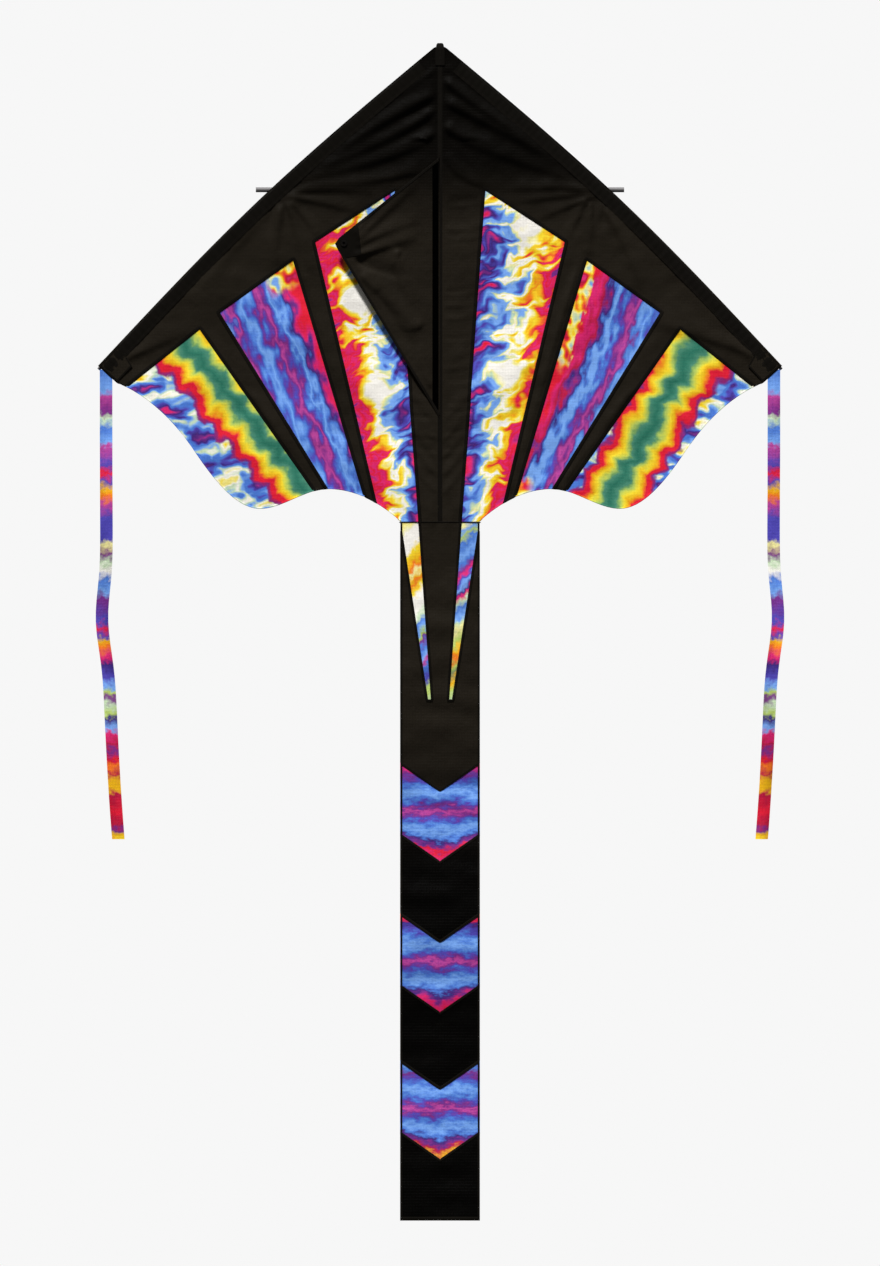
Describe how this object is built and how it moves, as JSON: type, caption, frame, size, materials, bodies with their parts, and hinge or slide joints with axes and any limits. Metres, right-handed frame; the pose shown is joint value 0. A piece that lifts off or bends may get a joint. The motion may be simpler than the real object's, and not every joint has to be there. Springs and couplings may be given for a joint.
{
  "type": "delta kite",
  "caption": "Delta kite: a black sail with tie-dye panels on a rod frame, a keel, a long hanging tail and ribbon streamers at the wingtips.",
  "frame": {"origin": "middle of the nose webbing's front face, 20 mm below the nose tip, on the kite's centre line", "axes": "+Z from tail to nose, +X to the viewer's right seen from the keel side, -Y out of the keel side (the underside in flight)"},
  "size_m": [1.1774, 0.0246, 2.013],
  "materials": {
    "black_sailcloth": "black ripstop sailcloth",
    "black_tape": "black woven pocket tape and patches",
    "tie_dye_cloth": "printed tie-dye ripstop sailcloth",
    "tie_dye_ribbon": "printed tie-dye ribbon",
    "fibreglass_rod": "black fibreglass rod",
    "vinyl_fitting": "dark grey vinyl tube",
    "grommet_metal": "blackened brass eyelet"
  },
  "bodies": {
    "airframe": {"centre_strip": "black_sailcloth", "spine_rod": "fibreglass_rod", "spine_foot_cap": "vinyl_fitting", "spine_pocket_upper": "black_tape", "spine_pocket_lower": "black_tape", "nose_webbing": "black_tape", "spreader_connector": "vinyl_fitting", "tie_dye_root_left": "tie_dye_cloth", "tie_dye_root_right": "tie_dye_cloth"},
    "keel": {"keel_panel": "black_sailcloth", "keel_tip_patch_front": "black_tape", "keel_tip_patch_back": "black_tape", "tow_grommet": "grommet_metal"},
    "wing_left": {"wing_panel_left": "black_sailcloth", "tie_dye_inner_left": "tie_dye_cloth", "tie_dye_middle_left": "tie_dye_cloth", "tie_dye_outer_left": "tie_dye_cloth", "edge_pocket_upper_left": "black_tape", "edge_pocket_lower_left": "black_tape", "edge_rod_left": "fibreglass_rod", "edge_rod_cap_nose_left": "vinyl_fitting", "edge_rod_cap_tip_left": "vinyl_fitting", "spreader_fitting_left": "vinyl_fitting", "spreader_rod_left": "fibreglass_rod", "wingtip_patch_left": "black_tape", "streamer_tab_left": "black_tape"},
    "streamer_left_1": {"streamer_left_1": "tie_dye_ribbon"},
    "streamer_left_2": {"streamer_left_2": "tie_dye_ribbon"},
    "streamer_left_3": {"streamer_left_3": "tie_dye_ribbon"},
    "wing_right": {"wing_panel_right": "black_sailcloth", "tie_dye_inner_right": "tie_dye_cloth", "tie_dye_middle_right": "tie_dye_cloth", "tie_dye_outer_right": "tie_dye_cloth", "edge_pocket_upper_right": "black_tape", "edge_pocket_lower_right": "black_tape", "edge_rod_right": "fibreglass_rod", "edge_rod_cap_nose_right": "vinyl_fitting", "edge_rod_cap_tip_right": "vinyl_fitting", "spreader_fitting_right": "vinyl_fitting", "spreader_rod_right": "fibreglass_rod", "wingtip_patch_right": "black_tape", "streamer_tab_right": "black_tape"},
    "streamer_right_1": {"streamer_right_1": "tie_dye_ribbon"},
    "streamer_right_2": {"streamer_right_2": "tie_dye_ribbon"},
    "streamer_right_3": {"streamer_right_3": "tie_dye_ribbon"},
    "tail_1": {"tail_yoke": "black_sailcloth", "tail_point_left": "tie_dye_cloth", "tail_point_right": "tie_dye_cloth"},
    "tail_2": {"tail_black_1_above": "black_sailcloth", "tail_chevron_1": "tie_dye_cloth", "tail_black_1_below": "black_sailcloth"},
    "tail_3": {"tail_black_2_above": "black_sailcloth", "tail_chevron_2": "tie_dye_cloth", "tail_black_2_below": "black_sailcloth"},
    "tail_4": {"tail_black_3_above": "black_sailcloth", "tail_chevron_3": "tie_dye_cloth", "tail_black_3_below": "black_sailcloth"}
  },
  "joints": [
    {"name": "wing_fold_left", "type": "hinge", "parent": "airframe", "child": "wing_left", "pos_m": [-0.012, 0.0016, 0.02], "axis": [-0.0668, 0, -0.9978], "range_deg": [0, 85]},
    {"name": "wing_fold_right", "type": "hinge", "parent": "airframe", "child": "wing_right", "pos_m": [0.012, 0.0016, 0.02], "axis": [-0.0668, 0, 0.9978], "range_deg": [0, 85]},
    {"name": "keel_swing", "type": "hinge", "parent": "airframe", "child": "keel", "pos_m": [0, 0.0004, -0.175], "axis": [0, 0, 1], "range_deg": [0, 172]},
    {"name": "tail_flex_1", "type": "hinge", "parent": "airframe", "child": "tail_1", "pos_m": [0, 0.0016, -0.799], "axis": [-1, 0, 0], "range_deg": [-70, 70]},
    {"name": "tail_flex_2", "type": "hinge", "parent": "tail_1", "child": "tail_2", "pos_m": [0, 0.0016, -1.156], "axis": [-1, 0, 0], "range_deg": [-70, 70]},
    {"name": "tail_flex_3", "type": "hinge", "parent": "tail_2", "child": "tail_3", "pos_m": [0, 0.0016, -1.426], "axis": [-1, 0, 0], "range_deg": [-70, 70]},
    {"name": "tail_flex_4", "type": "hinge", "parent": "tail_3", "child": "tail_4", "pos_m": [0, 0.0016, -1.678], "axis": [-1, 0, 0], "range_deg": [-70, 70]},
    {"name": "streamer_left_flex_1", "type": "hinge", "parent": "wing_left", "child": "streamer_left_1", "pos_m": [-0.571, 0.0016, -0.56], "axis": [-1, 0, 0], "range_deg": [-75, 75]},
    {"name": "streamer_left_flex_2", "type": "hinge", "parent": "streamer_left_1", "child": "streamer_left_2", "pos_m": [-0.571, 0.0016, -0.82067], "axis": [-1, 0, 0], "range_deg": [-75, 75]},
    {"name": "streamer_left_flex_3", "type": "hinge", "parent": "streamer_left_2", "child": "streamer_left_3", "pos_m": [-0.571, 0.0016, -1.08133], "axis": [-1, 0, 0], "range_deg": [-75, 75]},
    {"name": "streamer_right_flex_1", "type": "hinge", "parent": "wing_right", "child": "streamer_right_1", "pos_m": [0.571, 0.0016, -0.56], "axis": [-1, 0, 0], "range_deg": [-75, 75]},
    {"name": "streamer_right_flex_2", "type": "hinge", "parent": "streamer_right_1", "child": "streamer_right_2", "pos_m": [0.571, 0.0016, -0.82067], "axis": [-1, 0, 0], "range_deg": [-75, 75]},
    {"name": "streamer_right_flex_3", "type": "hinge", "parent": "streamer_right_2", "child": "streamer_right_3", "pos_m": [0.571, 0.0016, -1.08133], "axis": [-1, 0, 0], "range_deg": [-75, 75]}
  ]
}
